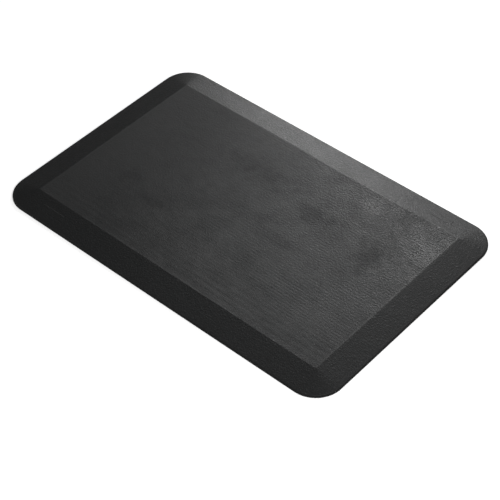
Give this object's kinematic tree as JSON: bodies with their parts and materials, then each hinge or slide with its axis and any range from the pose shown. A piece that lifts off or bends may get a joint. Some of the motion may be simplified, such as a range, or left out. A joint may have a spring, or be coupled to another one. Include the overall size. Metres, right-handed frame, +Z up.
{
  "type": "anti fatigue mat",
  "caption": "Rectangular cushioned floor mat for standing at a desk: finely ribbed standing field, sloping border, rounded corners, low upright edge and non-slip underside.",
  "frame": {"origin": "on the floor, under the centre of the mat", "axes": "+X along the long edges, +Y towards the back long edge, +Z up out of the standing field"},
  "size_m": [0.864, 0.559, 0.016],
  "materials": {
    "skin": "satin charcoal polyurethane skin, fine ribs on the standing field and leather grain on the border",
    "foam": "dark closed-cell polyurethane foam, fine pores",
    "base": "matt black non-slip rubber with shallow channels and a fine cross-hatch"
  },
  "bodies": {
    "root": {"top_skin": "skin", "foam_core": "foam", "base_sheet": "base"}
  },
  "joints": []
}
